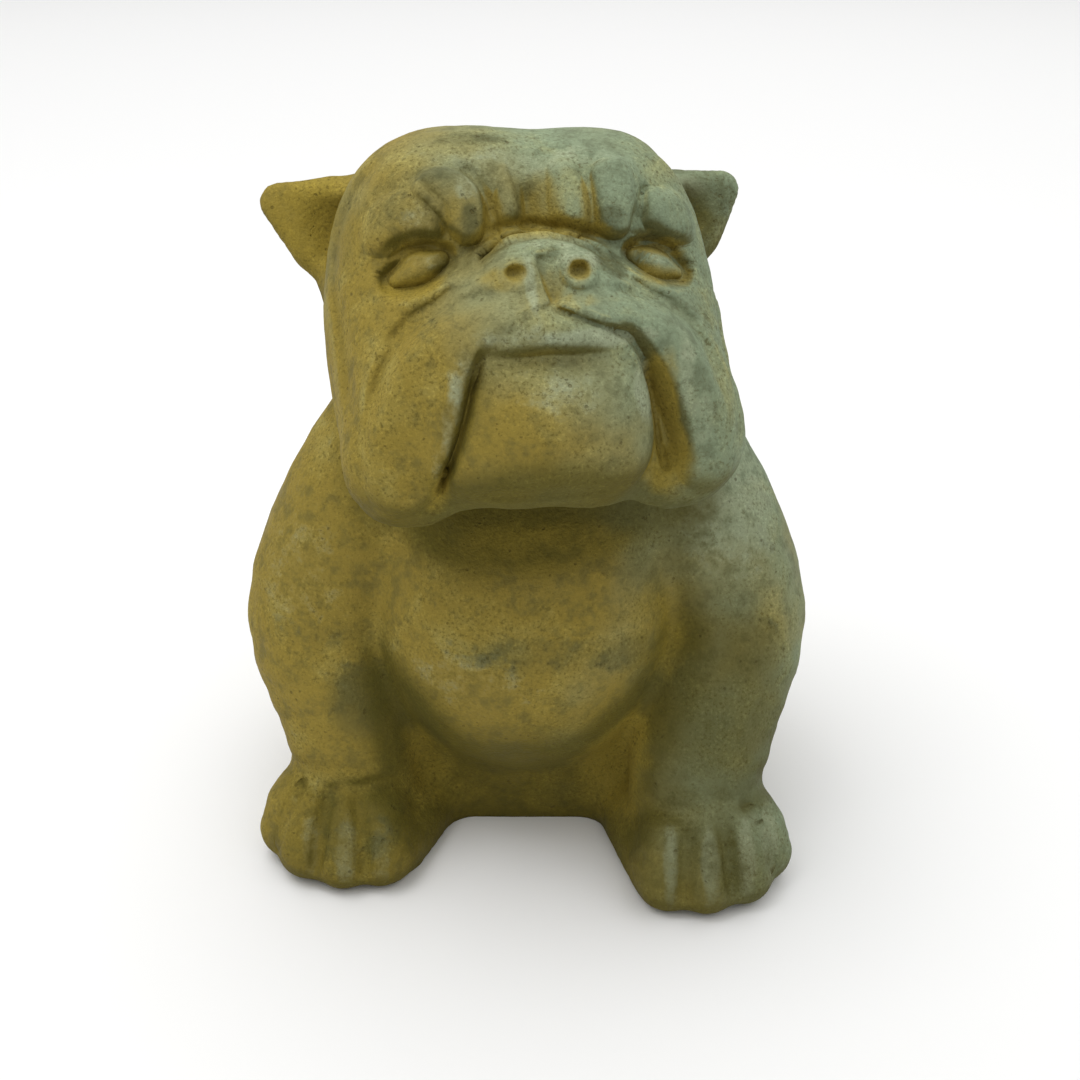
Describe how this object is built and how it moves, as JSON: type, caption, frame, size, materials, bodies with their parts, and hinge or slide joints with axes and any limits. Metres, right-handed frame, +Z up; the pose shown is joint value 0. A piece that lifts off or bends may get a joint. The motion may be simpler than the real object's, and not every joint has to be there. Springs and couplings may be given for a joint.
{
  "type": "bulldog garden statue",
  "caption": "Seated bulldog garden statue in cast stone, with a raised wrinkled face, heavy jowls and splayed forepaws, that stands on its own flat underside.",
  "frame": {"origin": "on the ground, on the flat underside below the middle of the body", "axes": "+Z up, -Y the way the chest faces, +X the dog's left; the head turns a little towards +X"},
  "size_m": [0.3185, 0.3142, 0.4035],
  "materials": {
    "cast_stone": "matt sandy cast stone with an uneven olive and grey-green patina"
  },
  "bodies": {
    "root": {"bulldog": "cast_stone"}
  },
  "joints": []
}
